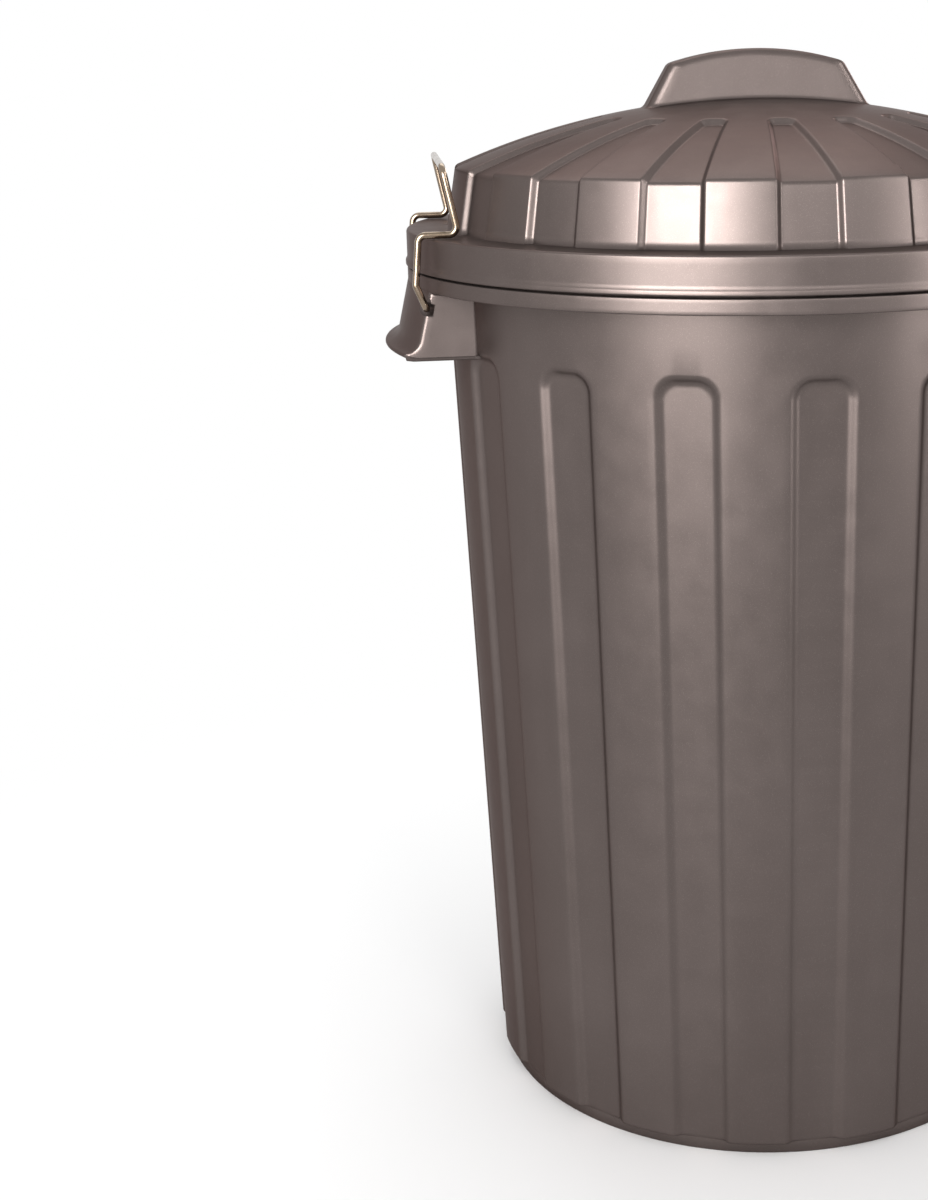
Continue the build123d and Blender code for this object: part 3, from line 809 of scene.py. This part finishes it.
def zinc_wire():
    """Bright zinc-plated wire with drawn lines and small dull patches, its colour darkened and
    tinted bronze with a painted reflection of the brown bin.
    """
    material, tree, shader = new_material("zinc_wire")
    place = tree.nodes.new("ShaderNodeTexCoord").outputs["Object"]
    patch = noise(tree, place, 90, 4)
    patched = ranged(tree, patch, 0.4, 0.65, 0, 1)
    # Both colours are dark bronze: a painted reflection of the brown bin over the zinc. The darker
    # one marks the dull patches.
    colour = mixed(tree, patched, (0.26, 0.205, 0.155), (0.19, 0.145, 0.105))
    tree.links.new(colour, shader.inputs["Base Color"])
    shader.inputs["Metallic"].default_value = 1.0
    tree.links.new(ranged(tree, patch, 0.3, 0.7, 0.14, 0.24), shader.inputs["Roughness"])
    bumped(tree, shader, noise(tree, place, 700, 2), 0.00003, 0.3)
    return material


# Stage

WHITE = (1.0, 1.0, 1.0)
WARM = (1.0, 0.98, 0.97)
AIM_Z = 0.45  # the height that the lights point at
CARD_FROM = 5.0


def seen_rays(tree):
    """1 for the rays of the camera, of mirrors and of glass, and 0 for all other rays."""
    rays = tree.nodes.new("ShaderNodeLightPath")
    out = rays.outputs["Is Camera Ray"]
    for kind in ("Is Glossy Ray", "Is Transmission Ray"):
        either = tree.nodes.new("ShaderNodeMath")
        either.operation = "MAXIMUM"
        tree.links.new(out, either.inputs[0])
        tree.links.new(rays.outputs[kind], either.inputs[1])
        out = either.outputs["Value"]
    return out


def stage():
    """A plain pale floor that keeps the bin's shadow and runs out to white."""
    size = 40.0
    corners = [(-size, -size, 0), (size, -size, 0), (size, size, 0), (-size, size, 0)]
    floor = new_object("floor", corners, [(0, 1, 2, 3)])
    material, tree, shader = new_material("pale_floor")
    place = tree.nodes.new("ShaderNodeTexCoord").outputs["Object"]
    tone = mixed(tree, noise(tree, place, 0.6, 2), (0.92, 0.92, 0.92), (0.95, 0.95, 0.95))
    tree.links.new(tone, shader.inputs["Base Color"])
    shader.inputs["Roughness"].default_value = 0.9
    shader.inputs["Specular IOR Level"].default_value = 0.0
    near, far = 0.3, 1.0
    reach = tree.nodes.new("ShaderNodeVectorMath")
    reach.operation = "LENGTH"
    tree.links.new(place, reach.inputs[0])
    faded = ranged(tree, reach.outputs["Value"], near, far, 0, 1)
    faded.node.interpolation_type = "SMOOTHSTEP"
    shown = tree.nodes.new("ShaderNodeMath")
    shown.operation = "MULTIPLY"
    tree.links.new(faded, shown.inputs[0])
    tree.links.new(seen_rays(tree), shown.inputs[1])
    white = tree.nodes.new("ShaderNodeEmission")
    both = tree.nodes.new("ShaderNodeMixShader")
    tree.links.new(shown.outputs["Value"], both.inputs["Fac"])
    tree.links.new(shader.outputs["BSDF"], both.inputs[1])
    tree.links.new(white.outputs["Emission"], both.inputs[2])
    tree.links.new(both.outputs["Shader"], tree.nodes["Material Output"].inputs["Surface"])
    floor.data.materials.append(material)


def softbox(name, azimuth, distance, height, size, radiance, colour=WHITE, target=AIM_Z):
    """An area light that stands at an azimuth from the front, towards +X, in degrees. One
    brighter than CARD_FROM is a card, which only shows in reflections."""
    lamp = bpy.data.lights.new(name, "AREA")
    lamp.shape = "RECTANGLE"
    lamp.size, lamp.size_y = size
    lamp.energy = radiance * math.pi * size[0] * size[1]
    lamp.color = colour
    obj = bpy.data.objects.new(name, lamp)
    turn = math.radians(azimuth)
    obj.location = (distance * math.sin(turn), -distance * math.cos(turn), height)
    toward = Vector((0, 0, target)) - obj.location
    obj.rotation_euler = toward.to_track_quat("-Z", "Y").to_euler()
    obj.visible_diffuse = radiance <= CARD_FROM
    obj.visible_camera = False
    bpy.context.scene.collection.objects.link(obj)


def lighting():
    """Soft studio light from the front left and from above, with bright cards whose
    reflections run down the bin, in a white surround that also shows in reflections."""
    softbox("key", -40, 2.4, 1.7, (1.3, 1.3), 5.0)
    softbox("fill", 12, 2.3, 1.5, (0.7, 0.7), 4.5)
    softbox("front_card", -34, 2.1, 1.1, (1.25, 1.5), 18.0, (1.0, 0.985, 0.97), 0.6)
    softbox("strip_card", 46, 2.1, 0.9, (0.25, 1.5), 18.0, WARM)
    softbox("high_card", 62, 1.9, 2.2, (0.5, 0.8), 14.0, WARM)
    softbox("edge_card", 140, 2.0, 1.3, (0.5, 0.6), 12.0, WARM, 0.7)
    softbox("over", 180, 1.3, 2.3, (1.8, 1.2), 2.4, (0.98, 0.99, 1.0))
    world = bpy.data.worlds.new("surround")
    world.use_nodes = True
    tree = world.node_tree
    back = tree.nodes["Background"]
    tree.links.new(ranged(tree, seen_rays(tree), 0, 1, 0.8, 1.0), back.inputs["Strength"])
    back.inputs["Color"].default_value = (*WHITE, 1)
    bpy.context.scene.world = world


def camera():
    """The photograph's camera: a little above the grip, looking down at the bin's left."""
    focal_px, long_side_px = 1896.6, 1200
    data = bpy.data.cameras.new("camera")
    data.sensor_fit = "AUTO"
    data.sensor_width = 36
    data.lens = focal_px / long_side_px * data.sensor_width
    data.shift_x, data.shift_y = -0.15, -0.13
    obj = bpy.data.objects.new("camera", data)
    yaw, pitch, roll = -0.0592, 0.2014, -0.0152
    around = math.radians(-11.2)
    place = Vector((-1.33 * MM, -1457.8 * MM, 782.8 * MM))
    turn = Matrix.Rotation(around, 4, "Z")
    aim = Matrix.Rotation(-yaw, 4, "Z") @ Matrix.Rotation(math.pi / 2 - pitch, 4, "X")
    obj.matrix_world = turn @ Matrix.Translation(place) @ aim @ Matrix.Rotation(roll, 4, "Z")
    bpy.context.scene.collection.objects.link(obj)
    bpy.context.scene.camera = obj


camera()
lighting()
stage()

plastic, wire = metallic_plastic(), zinc_wire()
pieces = [
    (bin_tub(), "bin", "bin_body", plastic),
    (bracket("right_bracket", 1), "bin", "bin_body", plastic),
    (bracket("left_bracket", -1), "bin", "bin_body", plastic),
    (lid_shell(), "lid", "lid", plastic),
    (clip("right_clip_wire", 1), "right_clip", "right_wire_clip", wire),
    (clip("left_clip_wire", -1), "left_clip", "left_wire_clip", wire),
]
for piece, body, node, material in pieces:
    outwards(piece)
    piece.data.materials.clear()
    piece.data.materials.append(material)
    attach(piece, body)
    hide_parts(node)

bpy.context.scene.view_settings.view_transform = "Standard"
